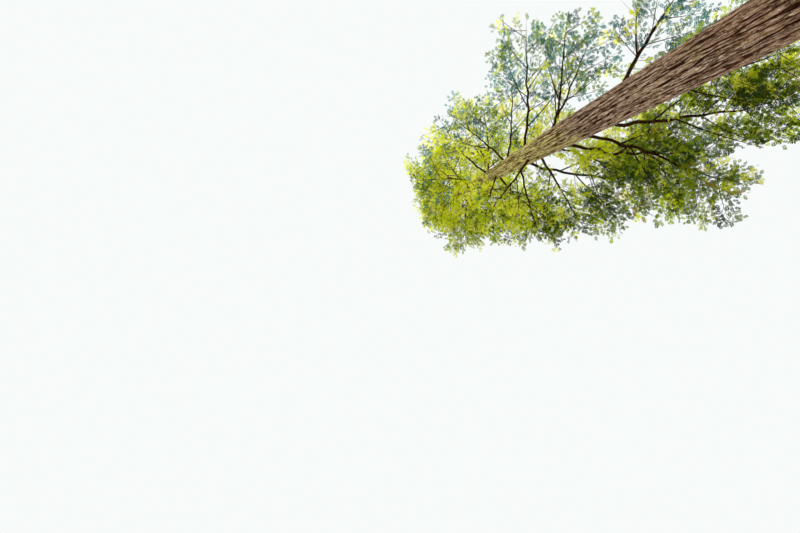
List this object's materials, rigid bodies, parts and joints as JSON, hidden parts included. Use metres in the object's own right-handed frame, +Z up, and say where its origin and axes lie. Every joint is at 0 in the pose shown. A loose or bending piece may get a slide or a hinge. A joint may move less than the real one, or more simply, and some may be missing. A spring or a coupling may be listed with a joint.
{
  "type": "redwood tree",
  "caption": "Tall redwood tree with a straight ribbed trunk that flares at its flat foot, a bare lower stem, long drooping boughs and fans of flat needle sprays up to the tip.",
  "frame": {"origin": "middle of the flat cut under the trunk, at ground level", "axes": "+Z up along the trunk to its tip; the side seen from below is -Y, with +X to its right"},
  "size_m": [10.0789, 9.7528, 40],
  "materials": {
    "trunk_bark": "fibrous, furrowed, matt",
    "bough_bark": "rough, matt",
    "needles": "leafy, slightly waxy"
  },
  "bodies": {
    "root": {"trunk": "trunk_bark", "bough_01": "bough_bark", "bough_foliage_01": "needles", "bough_02": "bough_bark", "bough_foliage_02": "needles", "bough_03": "bough_bark", "bough_foliage_03": "needles", "bough_04": "bough_bark", "bough_foliage_04": "needles", "bough_05": "bough_bark", "bough_foliage_05": "needles", "bough_06": "bough_bark", "bough_foliage_06": "needles", "bough_07": "bough_bark", "bough_foliage_07": "needles", "bough_08": "bough_bark", "bough_foliage_08": "needles", "bough_09": "bough_bark", "bough_foliage_09": "needles", "bough_10": "bough_bark", "bough_foliage_10": "needles", "bough_11": "bough_bark", "bough_foliage_11": "needles", "bough_12": "bough_bark", "bough_foliage_12": "needles", "bough_13": "bough_bark", "bough_foliage_13": "needles", "bough_14": "bough_bark", "bough_foliage_14": "needles", "bough_15": "bough_bark", "bough_foliage_15": "needles", "bough_16": "bough_bark", "bough_foliage_16": "needles", "bough_17": "bough_bark", "bough_foliage_17": "needles", "bough_18": "bough_bark", "bough_foliage_18": "needles", "bough_19": "bough_bark", "bough_foliage_19": "needles", "top_foliage_01": "needles", "top_foliage_02": "needles", "top_foliage_03": "needles", "top_foliage_04": "needles", "top_foliage_05": "needles", "top_foliage_06": "needles", "top_foliage_07": "needles", "top_foliage_08": "needles", "top_foliage_09": "needles", "top_foliage_10": "needles", "top_foliage_11": "needles", "top_foliage_12": "needles", "top_foliage_13": "needles", "top_foliage_14": "needles", "top_foliage_15": "needles", "top_foliage_16": "needles", "top_foliage_17": "needles", "top_foliage_18": "needles", "top_foliage_19": "needles", "top_foliage_20": "needles", "top_foliage_21": "needles"}
  },
  "joints": []
}
